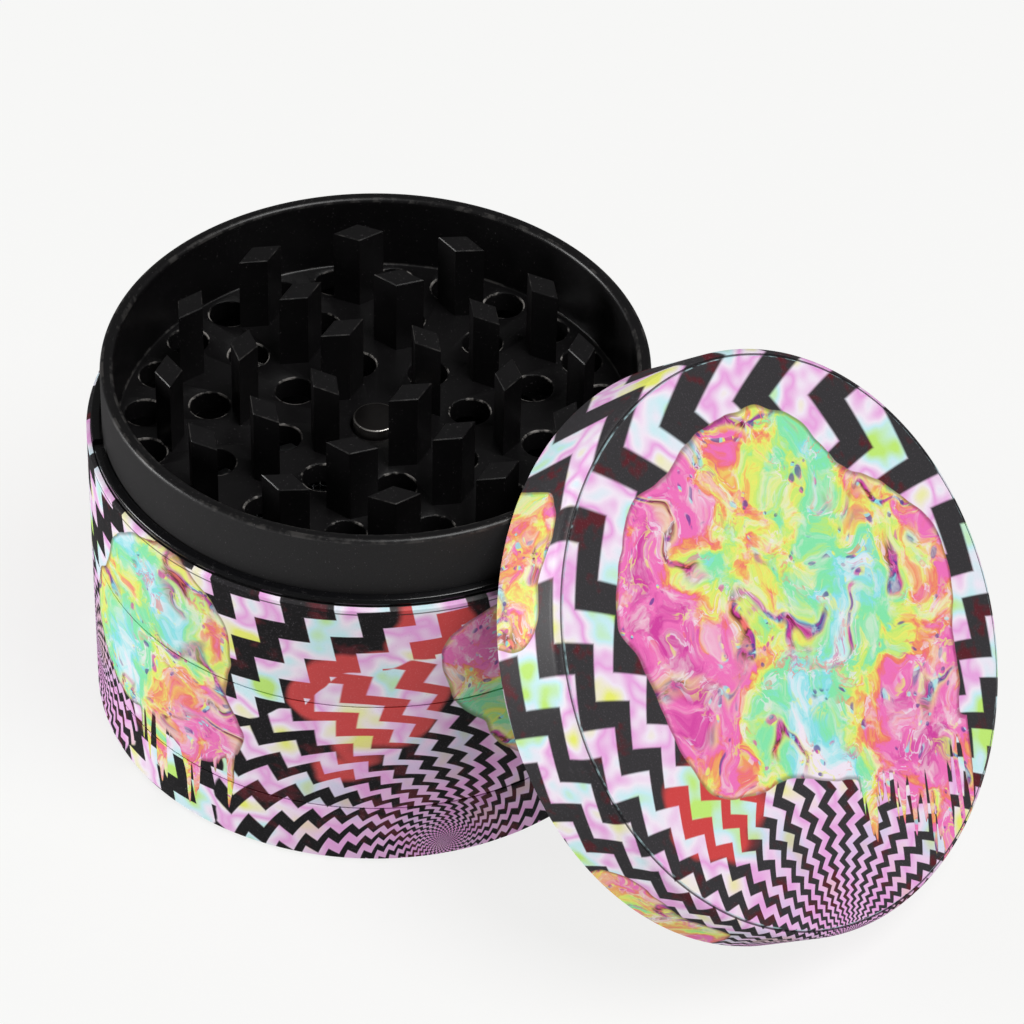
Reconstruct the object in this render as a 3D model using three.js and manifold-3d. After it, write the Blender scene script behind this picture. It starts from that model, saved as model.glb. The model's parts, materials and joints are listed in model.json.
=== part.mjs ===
// A four-piece herb grinder, 63 mm across, with its lid off and leaning on the open body.
// From the bottom: catcher, screen chamber and toothed grinding base screw together; the lid has teeth too.
// Millimetres, +Z up. The origin is the centre of the catcher's flat bottom.

import * as THREE from 'three';
import { mergeVertices } from 'three/addons/utils/BufferGeometryUtils.js';
import Module from 'manifold-3d';

const wasm = await Module();
wasm.setup();

// ---- Driving dimensions ----

// The stack, measured along Z from seam to seam
const body_radius = 31.5; // outside of the printed film
const catcher_height = 8.0;
const chamber_height = 15.0;
const base_height = 14.0; // from its lower seam to the shoulder
const neck_height = 8.0; // from the shoulder to the open rim
const seam_gap = 0.1; // between two stacked pieces

// Printed film round the metal
const film_thickness = 0.2;
const film_gap = 0.3; // between the film and the metal
const film_setback = 0.15; // film edge back from a seam
const film_lift = 0.4; // lower edge of the lowest film above the floor
const film_chamfer = 0.25; // height of the bevel over the shoulder edge
const shoulder_clearance = 0.06; // between the bevelled film and the shoulder

// Screw threads between the pieces
const female_wall = 2.4; // metal outside an internal thread
const thread_clearance = 0.2;
const thread_depth = 0.6;
const thread_pitch = 2.0;
const thread_turns = 1.5;
const thread_root_width = 1.0;
const thread_crest_width = 0.4;
const thread_root_sink = 0.3; // how far a ridge is sunk into its wall
const spigot_length = 4.5;
const spigot_wall = 1.8;
const spigot_end_margin = 0.75; // middle of the first ridge above the spigot's end
const bore_end_clearance = 0.5; // below a spigot's end
const mouth_chamfer = 0.4;

// Catcher
const catcher_floor = 1.8;
const catcher_corner_radius = 1.2;
const foot_chamfer = 0.3;

// Screen chamber and its screen
const chamber_wall = 3.8;
const ledge_width = 3.0;
const ledge_thickness = 1.2;
const screen_clearance = 0.2; // round the screen and its rings
const layer_gap = 0.1; // between the ledge, the screen and its rings
const screen_ring_width = 1.8;
const frame_ring_height = 0.8;
const retaining_ring_height = 1.2;
const mesh_thickness = 0.4;
const mesh_pitch = 5.0;
const mesh_opening = 4.0;

// Grinding base
const shoulder_width = 1.2; // flat shoulder outside the neck
const neck_wall = 1.5;
const neck_chamfer = 0.4;
const grinding_depth = 9.2; // from the open rim down to the grinding floor
const grinding_floor = 2.7; // its thickness
const hole_radius = 2.2;
const hole_margin = 0.8; // from the outer holes to the chamber wall
const underside_margin = 0.3; // from the outer holes to the wall under the floor

// Teeth, upright rhombic prisms whose long diagonal runs round the axis
const tooth_width = 3.0; // radial diagonal
const tooth_length = 5.6; // tangential diagonal
const tooth_clearance = 0.95; // radial, between base teeth and lid teeth in use
const inner_tooth_ring = 6.6; // radius of the base's inner ring of teeth
const outer_tooth_inset = 5.9; // from the chamber wall to the outer ring of teeth
const tooth_root_sink = 0.5; // how far a tooth is sunk into the metal it stands on
const lid_tooth_height = 5.2;

// Lid
const lid_height = 10.0;
const lid_clearance = 0.25; // between the skirt and the neck
const lid_headroom = 0.3; // above the neck's rim when the lid is on
const lid_edge_radius = 1.2;
const lid_lip = 0.4; // bare metal lip below the film
const post_radius = 4.2;
const magnet_reach = 0.4; // between the two magnets when the lid is on

// Magnets and friction ring
const magnet_radius = 2.5;
const magnet_height = 2.0;
const magnet_clearance = 0.3;
const magnet_stand = 1.1; // base magnet above the grinding floor
const ring_height = 0.8;
const ring_clearance = 0.1;
const ring_split = 1.6; // width of the ring's open split
const ring_split_angle = -169; // degrees round from +X

// The lid's lean on the neck, in degrees and mm
const lean_tilt = 51.1; // of the lid's axis from vertical
const lean_direction = -39.2; // its heading round from +X
const lean_sideways = 4.7; // lid centre to the left of that heading
const lean_gap = 0.3; // between the lid and the stack that it leans on

// Fineness of round surfaces
const round_segments = 48;
const small_segments = 24;
const hole_segments = 10;
const ridge_steps = 32; // per turn
const corner_steps = 3;
const lean_steps = 1440; // points on a circle, where the lid's lean is worked out
const lean_precision = 0.001;

// ---- Sizes and places that follow ----

const shell_radius = body_radius - film_thickness - film_gap;
const thread_radius = shell_radius - female_wall - thread_clearance;
const thread_core = thread_radius - thread_depth;
const spigot_bore = thread_core - spigot_wall;
const female_radius = thread_radius + thread_clearance;
const female_depth = spigot_length + bore_end_clearance;

const chamber_z = catcher_height;
const base_z = chamber_z + chamber_height;
const shoulder_z = base_z + base_height;
const rim_z = shoulder_z + neck_height;
const floor_z = rim_z - grinding_depth;

const neck_radius = shell_radius - shoulder_width;
const grinding_radius = neck_radius - neck_wall;
const outer_tooth_ring = grinding_radius - outer_tooth_inset;
const ring_step = (outer_tooth_ring - inner_tooth_ring) / 4;
const outer_hole_ring = grinding_radius - hole_margin - hole_radius;
const underside_radius = outer_hole_ring + hole_radius + underside_margin;

const screen_bore = shell_radius - chamber_wall;
const screen_radius = screen_bore - screen_clearance;
const screen_ring_bore = screen_radius - screen_ring_width;
const frame_ring_z = chamber_z + ledge_thickness + layer_gap;
const mesh_z = frame_ring_z + frame_ring_height + layer_gap;
const retaining_ring_z = mesh_z + mesh_thickness + layer_gap;

const closed_rim_z = shoulder_z + seam_gap + ring_height; // where the lid's rim rests when it is on
const skirt_depth = rim_z + lid_headroom - closed_rim_z;
const skirt_bore = neck_radius + lid_clearance;
const lid_metal_height = lid_height - film_thickness - film_gap;
const base_magnet_top = floor_z + magnet_stand;
const post_tip = base_magnet_top + magnet_reach - closed_rim_z; // in the lid's own frame
const lid_tooth_width = 2 * (ring_step - tooth_clearance) - tooth_width;

// [ring radius, how many, angle of the first in degrees]
const base_teeth = [
  [inner_tooth_ring, 4, 34],
  [inner_tooth_ring + 2 * ring_step, 8, 35],
  [outer_tooth_ring, 12, 5],
];
const base_holes = [
  [inner_tooth_ring + ring_step, 8, 12],
  [inner_tooth_ring + 3 * ring_step, 12, 20],
  [outer_hole_ring, 24, 10.5],
];
const lid_teeth = [
  [inner_tooth_ring + ring_step, 6, 11],
  [inner_tooth_ring + 3 * ring_step, 10, 11],
  [outer_tooth_ring + ring_step, 14, 11],
];

// ---- Solids ----

// A closed geometry as a solid with its faces pointing out, ready to be joined or cut.
function solid(geometry) {
  const bare = geometry.clone();
  bare.deleteAttribute('normal');
  bare.deleteAttribute('uv');
  const merged = mergeVertices(bare, 1e-4);
  const { array } = merged.attributes.position;
  const corners = merged.index.array;
  const point = (i) => new THREE.Vector3().fromArray(array, 3 * i);
  const triangles = [];
  let volume = 0;
  for (let i = 0; i < corners.length; i += 3) {
    const [a, b, c] = corners.subarray(i, i + 3);
    if (a === b || b === c || c === a) continue;
    triangles.push([a, b, c]);
    volume += point(a).dot(point(b).cross(point(c)));
  }
  const facing_out = volume > 0 ? triangles : triangles.map(([a, b, c]) => [a, c, b]);
  const triVerts = new Uint32Array(facing_out.flat());
  return new wasm.Manifold(new wasm.Mesh({ numProp: 3, vertProperties: array, triVerts }));
}

// Turns an outline of [radius, height] points about Z. It starts and ends on the axis.
function turned(outline, segments = round_segments) {
  const points = outline.map(([radius, height]) => new THREE.Vector2(radius, height));
  return solid(new THREE.LatheGeometry(points, segments).rotateX(Math.PI / 2));
}

// The same for an outline that closes on itself, clear of the axis.
function turned_ring(outline) {
  return turned([...outline, outline[0]]);
}

// A plain ring of rectangular section.
function flat_ring(inner, outer, low, high) {
  return turned_ring([[inner, low], [outer, low], [outer, high], [inner, high]]);
}

// An upright cylinder on the Z axis.
function disc(radius, low, high, segments) {
  return turned([[0, low], [radius, low], [radius, high], [0, high]], segments);
}

// Points of a quarter round from angle to angle + 90 degrees about a centre.
function quarter(radius, height, size, angle, step) {
  return Array.from({ length: corner_steps + 1 }, (_, i) => {
    const turn = THREE.MathUtils.degToRad(angle + (step * i * 90) / corner_steps);
    return [radius + size * Math.cos(turn), height + size * Math.sin(turn)];
  });
}

// Copies of a solid round the axis: count of them at one ring radius.
function round_ring(piece, [radius, count, first_angle]) {
  return Array.from({ length: count }, (_, i) =>
    piece.translate([radius, 0, 0]).rotate([0, 0, first_angle + (360 * i) / count]));
}

// A rhombic tooth between two heights, with its short diagonal along X.
function tooth(width, low, high) {
  const outline = new THREE.Shape([
    new THREE.Vector2(width / 2, 0),
    new THREE.Vector2(0, tooth_length / 2),
    new THREE.Vector2(-width / 2, 0),
    new THREE.Vector2(0, -tooth_length / 2),
  ]);
  const prism = new THREE.ExtrudeGeometry(outline, { depth: high - low, bevelEnabled: false });
  return solid(prism.translate(0, 0, low));
}

// A right-hand helical ridge from a root radius to a crest radius, whose middle starts at a height.
function thread(root, crest, height, start_angle) {
  const outline = new THREE.Shape([
    new THREE.Vector2(root, -thread_root_width / 2),
    new THREE.Vector2(crest, -thread_crest_width / 2),
    new THREE.Vector2(crest, thread_crest_width / 2),
    new THREE.Vector2(root, thread_root_width / 2),
  ]);
  const steps = Math.round(thread_turns * ridge_steps);
  const ridge = new THREE.ExtrudeGeometry(outline, { depth: thread_turns, steps, bevelEnabled: false });
  const { position } = ridge.attributes;
  for (let i = 0; i < position.count; i++) {
    const turn = position.getZ(i);
    const radius = position.getX(i);
    const angle = start_angle + 2 * Math.PI * turn;
    const rise = height + position.getY(i) + turn * thread_pitch;
    position.setXYZ(i, radius * Math.cos(angle), radius * Math.sin(angle), rise);
  }
  return solid(ridge);
}

// The ridge on a spigot that hangs below a seam, and the one in the bore round it, half a turn apart.
function spigot_thread(seam) {
  const height = seam - spigot_length + spigot_end_margin;
  return thread(thread_core - thread_root_sink, thread_radius, height, 0);
}

function bore_thread(seam) {
  const height = seam - spigot_length + spigot_end_margin;
  return thread(female_radius + thread_root_sink, thread_core + thread_clearance, height, Math.PI);
}

// ---- Pieces ----

function catcher() {
  const top = catcher_height - seam_gap;
  const corner = catcher_corner_radius;
  return turned([
    [0, 0],
    [shell_radius - foot_chamfer, 0],
    [shell_radius, foot_chamfer],
    [shell_radius, top],
    [female_radius + mouth_chamfer, top],
    [female_radius, top - mouth_chamfer],
    ...quarter(female_radius - corner, catcher_floor + corner, corner, 0, -1),
    [0, catcher_floor],
  ]).add(bore_thread(chamber_z));
}

function screen_chamber() {
  const top = base_z - seam_gap;
  const ledge = chamber_z + ledge_thickness;
  return turned_ring([
    [spigot_bore, chamber_z - spigot_length],
    [thread_core, chamber_z - spigot_length],
    [thread_core, chamber_z],
    [shell_radius, chamber_z],
    [shell_radius, top],
    [female_radius + mouth_chamfer, top],
    [female_radius, top - mouth_chamfer],
    [female_radius, base_z - female_depth],
    [screen_bore, base_z - female_depth],
    [screen_bore, ledge],
    [screen_bore - ledge_width, ledge],
    [screen_bore - ledge_width, chamber_z],
    [spigot_bore, chamber_z],
  ]).add(spigot_thread(chamber_z)).add(bore_thread(base_z));
}

function screen_mesh() {
  const sheet = disc(screen_radius, mesh_z, mesh_z + mesh_thickness);
  const hole = solid(new THREE.BoxGeometry(mesh_opening, mesh_opening, 3 * mesh_thickness));
  const reach = screen_ring_bore - Math.SQRT1_2 * mesh_opening;
  const count = Math.floor(reach / mesh_pitch);
  const holes = [];
  for (let i = -count; i <= count; i++) {
    for (let j = -count; j <= count; j++) {
      const inside = Math.hypot(i, j) * mesh_pitch < reach;
      if (inside) holes.push(hole.translate([i * mesh_pitch, j * mesh_pitch, mesh_z]));
    }
  }
  return sheet.subtract(wasm.Manifold.union(holes));
}

function grinding_base() {
  const cone_z = base_z + bore_end_clearance;
  const shell = turned_ring([
    [spigot_bore, base_z - spigot_length],
    [thread_core, base_z - spigot_length],
    [thread_core, base_z],
    [shell_radius, base_z],
    [shell_radius, shoulder_z],
    [neck_radius, shoulder_z],
    [neck_radius, rim_z - neck_chamfer],
    [neck_radius - neck_chamfer, rim_z],
    [grinding_radius + neck_chamfer, rim_z],
    [grinding_radius, rim_z - neck_chamfer],
    [grinding_radius, floor_z - grinding_floor / 2],
    [underside_radius, floor_z - grinding_floor / 2],
    [underside_radius, cone_z + underside_radius - spigot_bore],
    [spigot_bore, cone_z],
  ]);
  const floor = disc(grinding_radius + neck_wall / 2, floor_z - grinding_floor, floor_z);
  const hole = disc(hole_radius, floor_z - 2 * grinding_floor, rim_z, hole_segments);
  const holes = base_holes.flatMap((ring) => round_ring(hole, ring));
  const base_tooth = tooth(tooth_width, floor_z - tooth_root_sink, rim_z);
  const teeth = base_teeth.flatMap((ring) => round_ring(base_tooth, ring));
  const pocket = magnet_pocket(base_magnet_top - magnet_height - magnet_clearance, rim_z);
  return shell.add(floor.subtract(wasm.Manifold.union(holes)))
    .add(wasm.Manifold.union(teeth))
    .add(spigot_thread(base_z))
    .subtract(pocket);
}

function magnet_pocket(low, high) {
  return disc(magnet_radius + magnet_clearance, low, high, small_segments);
}

function magnet(low) {
  return disc(magnet_radius, low, low + magnet_height, small_segments);
}

// The split ring of hard plastic that lies on the shoulder, round the foot of the neck.
function friction_ring() {
  const low = shoulder_z + seam_gap;
  const ring = flat_ring(neck_radius + ring_clearance, shell_radius, low, low + ring_height);
  const split = new THREE.BoxGeometry(4 * shoulder_width, ring_split, 4 * ring_height);
  split.translate(neck_radius + shoulder_width / 2, 0, low);
  return ring.subtract(solid(split).rotate([0, 0, ring_split_angle]));
}

// A printed sleeve between two heights. The one at the shoulder is bevelled over the edge.
function print_sleeve(low, high, bevelled) {
  const inside = body_radius - film_thickness;
  if (!bevelled) return flat_ring(inside, body_radius, low, high);
  const lip = shell_radius + shoulder_clearance;
  return turned_ring([
    [inside, low],
    [body_radius, low],
    [body_radius, high - film_chamfer],
    [lip, high],
    [lip, high - film_chamfer],
    [inside, high - 2 * film_chamfer],
  ]);
}

// The lid and its film are made upright, with the open rim at height 0, and are leaned afterwards.
function lid() {
  const edge = lid_edge_radius;
  const shell = turned([
    [0, skirt_depth],
    [skirt_bore, skirt_depth],
    [skirt_bore, mouth_chamfer],
    [skirt_bore + mouth_chamfer, 0],
    [body_radius, 0],
    [body_radius, lid_lip],
    [shell_radius, lid_lip],
    ...quarter(shell_radius - edge, lid_metal_height - edge, edge, 0, 1),
    [0, lid_metal_height],
  ]);
  const post = disc(post_radius, post_tip, skirt_depth + tooth_root_sink, small_segments);
  const tip = skirt_depth - lid_tooth_height;
  const lid_tooth = tooth(lid_tooth_width, tip, skirt_depth + tooth_root_sink);
  const teeth = lid_teeth.flatMap((ring) => round_ring(lid_tooth, ring));
  const pocket = magnet_pocket(post_tip - magnet_height, post_tip + magnet_height + magnet_clearance);
  return shell.add(post).add(wasm.Manifold.union(teeth)).subtract(pocket);
}

function lid_film() {
  const edge = lid_edge_radius;
  const low = lid_lip + film_setback;
  const inside = body_radius - film_thickness;
  const arc_z = lid_height - edge;
  return turned([
    [0, lid_height - film_thickness],
    ...quarter(body_radius - edge, arc_z, edge - film_thickness, 90, -1),
    [inside, low],
    [body_radius, low],
    ...quarter(body_radius - edge, arc_z, edge, 0, 1),
    [0, lid_height],
  ]);
}

// ---- Assembly ----

// Colour, roughness and metalness of each finish
const finishes = {
  black_metal: [0x1d1d1f, 0.42, 0.85],
  print: [0xc9638f, 0.38, 0.0],
  steel: [0xb9bcc0, 0.3, 1.0],
  nickel: [0xd4d4d2, 0.2, 1.0],
  black_plastic: [0x121214, 0.25, 0.0],
};

function node(name, piece, finish) {
  const { vertProperties, triVerts } = piece.getMesh();
  const geometry = new THREE.BufferGeometry();
  geometry.setAttribute('position', new THREE.BufferAttribute(vertProperties, 3));
  geometry.setIndex(new THREE.BufferAttribute(triVerts, 1));
  const [color, roughness, metalness] = finishes[finish];
  const material = new THREE.MeshStandardMaterial({ color, roughness, metalness, flatShading: true });
  const mesh = new THREE.Mesh(geometry, material);
  mesh.name = name;
  return mesh;
}

// Distance from a point to a closed outline in the half-plane of radius and height, negative inside it
function room(outline, r, z) {
  let nearest = Infinity;
  let inside = false;
  outline.forEach(([r1, z1], i) => {
    const [r2, z2] = outline[(i + 1) % outline.length];
    const [dr, dz] = [r2 - r1, z2 - z1];
    const along = THREE.MathUtils.clamp(((r - r1) * dr + (z - z1) * dz) / (dr * dr + dz * dz), 0, 1);
    nearest = Math.min(nearest, Math.hypot(r - r1 - along * dr, z - z1 - along * dz));
    if (z1 > z !== z2 > z && r < r1 + (dr * (z - z1)) / dz) inside = !inside;
  });
  return inside ? -nearest : nearest;
}

// Least room between one round outline and the circles that another's corners turn through,
// carried over by the matrix from the second outline's frame to the first one's
function room_between(outline, other, matrix) {
  const point = new THREE.Vector3();
  let least = Infinity;
  for (const [radius, height] of other) {
    for (let step = 0; step < lean_steps; step++) {
      const angle = (2 * Math.PI * step) / lean_steps;
      point.set(radius * Math.cos(angle), radius * Math.sin(angle), height).applyMatrix4(matrix);
      least = Math.min(least, room(outline, Math.hypot(point.x, point.y), point.z));
    }
  }
  return least;
}

// The leaning lid: its lowest rim point is on the floor, and it stands as near to the stack as leaves
// the lean gap between them, with the neck's rim inside its mouth.
function leaning(...meshes) {
  const stack_outline = [
    [0, 0],
    [body_radius, 0],
    [body_radius, shoulder_z],
    [shell_radius, closed_rim_z],
    [neck_radius, closed_rim_z],
    [neck_radius, rim_z - neck_chamfer],
    [neck_radius - neck_chamfer, rim_z],
    [0, rim_z],
  ];
  const lid_outline = [
    [0, skirt_depth - lid_tooth_height],
    [skirt_bore, skirt_depth - lid_tooth_height],
    [skirt_bore, mouth_chamfer],
    [skirt_bore + mouth_chamfer, 0],
    [body_radius, 0],
    [body_radius, lid_height],
    [0, lid_height],
  ];
  const tilt = THREE.MathUtils.degToRad(lean_tilt);
  const turned_over = new THREE.Matrix4().makeRotationY(tilt);
  const gap_at = (ahead) => {
    const to_stack = turned_over.clone().setPosition(ahead, lean_sideways, body_radius * Math.sin(tilt));
    const lid_room = room_between(stack_outline, lid_outline, to_stack);
    const stack_room = room_between(lid_outline, stack_outline, to_stack.clone().invert());
    return Math.min(lid_room, stack_room);
  };
  let near = 0;
  let far = 3 * (body_radius + lid_height);
  while (far - near > lean_precision) {
    const middle = (near + far) / 2;
    if (gap_at(middle) < lean_gap) near = middle;
    else far = middle;
  }
  const placed = new THREE.Group();
  placed.rotation.y = tilt;
  placed.position.set(far, lean_sideways, body_radius * Math.sin(tilt));
  placed.add(...meshes);
  const headed = new THREE.Group();
  headed.rotation.z = THREE.MathUtils.degToRad(lean_direction);
  headed.add(placed);
  return headed;
}

const group = new THREE.Group();
group.add(
  node('catcher', catcher(), 'black_metal'),
  node('catcher_print_sleeve', print_sleeve(film_lift, chamber_z - film_setback), 'print'),
  node('screen_chamber', screen_chamber(), 'black_metal'),
  node('chamber_print_sleeve', print_sleeve(chamber_z + film_setback, base_z - film_setback), 'print'),
  node('screen_frame_ring', flat_ring(screen_ring_bore, screen_radius, frame_ring_z,
    frame_ring_z + frame_ring_height), 'black_plastic'),
  node('screen_mesh', screen_mesh(), 'steel'),
  node('screen_retaining_ring', flat_ring(screen_ring_bore, screen_radius, retaining_ring_z,
    retaining_ring_z + retaining_ring_height), 'steel'),
  node('grinding_base', grinding_base(), 'black_metal'),
  node('base_print_sleeve', print_sleeve(base_z + film_setback, shoulder_z, true), 'print'),
  node('base_magnet', magnet(base_magnet_top - magnet_height), 'nickel'),
  node('friction_ring', friction_ring(), 'black_plastic'),
  leaning(
    node('lid', lid(), 'black_metal'),
    node('lid_print_film', lid_film(), 'print'),
    node('lid_magnet', magnet(post_tip), 'nickel'),
  ),
);

export default group;
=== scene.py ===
# A four-piece herb grinder with its lid off, leaning on the open body, on a plain pale floor.
# Metres, +Z up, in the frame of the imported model.
import json
import math

import bmesh
import bpy
from mathutils import Matrix, Vector

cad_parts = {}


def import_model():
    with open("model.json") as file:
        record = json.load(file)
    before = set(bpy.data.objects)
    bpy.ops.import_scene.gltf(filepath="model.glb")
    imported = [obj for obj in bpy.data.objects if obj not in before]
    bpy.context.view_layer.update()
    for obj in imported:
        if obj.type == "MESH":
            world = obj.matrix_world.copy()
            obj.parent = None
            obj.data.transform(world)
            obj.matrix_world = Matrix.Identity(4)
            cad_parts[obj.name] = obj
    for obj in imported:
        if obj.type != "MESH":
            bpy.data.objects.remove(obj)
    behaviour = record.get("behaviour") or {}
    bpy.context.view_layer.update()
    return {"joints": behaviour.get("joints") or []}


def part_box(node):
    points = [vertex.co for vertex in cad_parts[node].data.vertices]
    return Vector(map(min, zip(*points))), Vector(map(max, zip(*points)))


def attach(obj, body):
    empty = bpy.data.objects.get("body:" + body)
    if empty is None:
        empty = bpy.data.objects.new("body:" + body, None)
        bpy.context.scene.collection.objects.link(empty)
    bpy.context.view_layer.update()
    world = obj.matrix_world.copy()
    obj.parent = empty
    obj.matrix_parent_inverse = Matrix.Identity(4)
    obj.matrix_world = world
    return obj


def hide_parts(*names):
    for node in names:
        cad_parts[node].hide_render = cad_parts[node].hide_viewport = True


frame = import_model()

MM = 0.001

# ---- Sizes ----

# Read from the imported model
catcher_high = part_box("catcher")[1]
chamber_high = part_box("screen_chamber")[1]
base_low, base_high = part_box("grinding_base")
sleeve_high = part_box("base_print_sleeve")[1]
ring_low, ring_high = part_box("friction_ring")
magnet_low, magnet_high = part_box("base_magnet")
body_radius = sleeve_high.x
shell_radius = catcher_high.x
seam_gap = 0.1 * MM
chamber_z = catcher_high.z + seam_gap
base_z = chamber_high.z + seam_gap
spigot_length = base_z - base_low.z
shoulder_z = sleeve_high.z
rim_z = base_high.z
magnet_radius = magnet_high.x
magnet_height = magnet_high.z - magnet_low.z

# Threads
thread_clearance = 0.2 * MM
thread_depth = 0.6 * MM
thread_pitch = 2.0 * MM
thread_turns = 1.5
thread_crest = 0.2 * MM  # half widths of a ridge
thread_root = 0.5 * MM
ridge_above_end = 0.75 * MM
thread_wall = 2.4 * MM  # from the shell's outside to the thread
thread_fade = 0.06  # of a turn, where a ridge runs out at its ends
thread_radius = shell_radius - thread_wall - thread_clearance
thread_core = thread_radius - thread_depth
female_radius = thread_radius + thread_clearance
spigot_wall = 1.8 * MM
spigot_bore = thread_core - spigot_wall
female_depth = spigot_length + 0.5 * MM
mouth_chamfer = 0.4 * MM

# Walls and floors
metal_depth = 0.26 * MM  # of the metal under the outside of the printed film
film_thickness = 0.24 * MM
metal_radius = body_radius - metal_depth
film_inside = body_radius - film_thickness
film_setback = 0.09 * MM
catcher_floor = 1.8 * MM
catcher_corner = 1.2 * MM
screen_bore = shell_radius - 3.8 * MM
ledge_width = 3.0 * MM
ledge_thickness = 1.2 * MM
ring_seat = 1.2 * MM  # width of the shoulder that the friction ring is on
neck_wall = 1.5 * MM
tooth_height = 9.2 * MM
neck_radius = shell_radius - ring_seat
grinding_radius = neck_radius - neck_wall
grinding_z = rim_z - tooth_height
grinding_floor = 2.7 * MM
underside_radius = grinding_radius - 0.5 * MM

# Teeth and holes, as rings of (radius, count, first angle in degrees)
tooth_width = 3.0 * MM
tooth_length = 5.6 * MM
hole_radius = 2.2 * MM
base_teeth = [(6.6 * MM, 4, 34), (14.5 * MM, 8, 35), (22.4 * MM, 12, 5)]
base_holes = [(10.55 * MM, 8, 12), (18.45 * MM, 12, 20), (25.3 * MM, 24, 10.5)]
lid_teeth = [(10.55 * MM, 6, 11), (18.45 * MM, 10, 11), (26.35 * MM, 14, 11)]
lid_tooth_height = 5.2 * MM

# Lid, in its own frame, with its open rim at height 0
lid_height = 10.0 * MM
lid_edge = 1.2 * MM
skirt_depth = 7.4 * MM
skirt_gap = 0.25 * MM
skirt_bore = neck_radius + skirt_gap
post_radius = 4.2 * MM
post_tip = -0.6 * MM
film_join_radius = 0.976 * body_radius
film_join_width = 0.16 * MM
film_join_depth = 0.16 * MM

pocket_gap = 0.3 * MM
pocket_radius = magnet_radius + pocket_gap
ring_split_angle = math.radians(-169)
ring_split = 1.6 * MM

lid_joint = next(j for j in frame["joints"] if j["name"] == "lid_twist")
lid_axis = Vector(lid_joint["axis"]).normalized()
lid_side = Vector((0, 0, 1)).cross(Vector((lid_axis.x, lid_axis.y, 0)).normalized())
lid_down = lid_side.cross(lid_axis)
lid_frame = Matrix((lid_down, lid_side, lid_axis)).transposed().to_4x4()
lid_frame.translation = Vector(lid_joint["pos_m"])

SEGMENTS = 256
SLEEVE_SEGMENTS = 360
SMALL_SEGMENTS = 96
HOLE_SEGMENTS = 40
FINE_EDGE = 0.09 * MM
SLEEVE_EDGE = 0.05 * MM
ON_AXIS = 1e-7


# ---- Mesh building ----

def softened(outline, radius=FINE_EDGE, steps=3):
    """The whole closed outline with each corner off the axis rounded. A point may give its own radius."""
    points = []
    for i, (r, z, *own) in enumerate(outline):
        here = Vector((r, z))
        before = Vector(outline[i - 1][:2]) - here
        after = Vector(outline[(i + 1) % len(outline)][:2]) - here
        turn = math.pi - before.angle(after)
        if r < ON_AXIS or turn < math.radians(20):
            points.append((r, z))
            continue
        round_radius = own[0] if own else radius
        reach = min(round_radius * math.tan(turn / 2), 0.45 * before.length, 0.45 * after.length)
        start, end = here + before.normalized() * reach, here + after.normalized() * reach
        for step in range(steps + 1):
            t = step / steps
            point = start * (1 - t) ** 2 + here * 2 * t * (1 - t) + end * t ** 2
            points.append((point.x, point.y))
    return points


def finished(name, mesh_data, sharp=35):
    """An object from a bmesh, with its faces facing out and smooth where it is curved."""
    bmesh.ops.recalc_face_normals(mesh_data, faces=mesh_data.faces)
    mesh = bpy.data.meshes.new(name)
    mesh_data.to_mesh(mesh)
    mesh_data.free()
    for polygon in mesh.polygons:
        polygon.use_smooth = True
    mesh.set_sharp_from_angle(angle=math.radians(sharp))
    piece = bpy.data.objects.new(name, mesh)
    bpy.context.scene.collection.objects.link(piece)
    return piece


def lathe(outline, segments=SEGMENTS, shift=None):
    """A closed solid of revolution. shift moves a point of the outline outwards by its angle and height."""
    made = bmesh.new()
    rings = []
    for r, z in outline:
        if r < ON_AXIS:
            rings.append([made.verts.new((0, 0, z))])
            continue
        ring = []
        for i in range(segments):
            angle = 2 * math.pi * i / segments
            radius = r + (shift(angle, r, z) if shift else 0)
            ring.append(made.verts.new((radius * math.cos(angle), radius * math.sin(angle), z)))
        rings.append(ring)
    for i, ring in enumerate(rings):
        other = rings[(i + 1) % len(rings)]
        if len(ring) == 1 and len(other) == 1:
            continue
        for k in range(segments):
            n = (k + 1) % segments
            corners = [ring[k % len(ring)], other[k % len(other)], other[n % len(other)], ring[n % len(ring)]]
            made.faces.new(list(dict.fromkeys(corners)))
    return made


def rows_between(radius, low, high, spacing=0.14 * MM):
    """Closely spaced outline points up or down a wall that carries a thread."""
    count = max(2, round(abs(high - low) / spacing))
    return [(radius, low + (high - low) * i / count) for i in range(count + 1)]


def ridge(start_z, start_angle, wall, depth):
    """A shift that raises a helical ridge of the given depth, inwards if it is negative, on one wall."""
    def shift(angle, r, z):
        if abs(r - wall) > 0.05 * MM:
            return 0
        turn = ((angle - start_angle) % (2 * math.pi)) / (2 * math.pi)
        height = 0
        for whole in range(math.ceil(thread_turns)):
            along = turn + whole
            if along > thread_turns:
                continue
            away = abs(z - start_z - along * thread_pitch)
            fade = min(1, along / thread_fade, (thread_turns - along) / thread_fade)
            slope = (thread_root - away) / (thread_root - thread_crest)
            height = max(height, min(1, max(0, slope)) * max(0, fade))
        return depth * height
    return shift


def spigot_ridge(seam):
    return ridge(seam - spigot_length + ridge_above_end, 0, thread_core, thread_depth)


def bore_ridge(seam):
    return ridge(seam - spigot_length + ridge_above_end, math.pi, female_radius, -thread_depth)


def both(*shifts):
    return lambda angle, r, z: sum(shift(angle, r, z) for shift in shifts)


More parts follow.
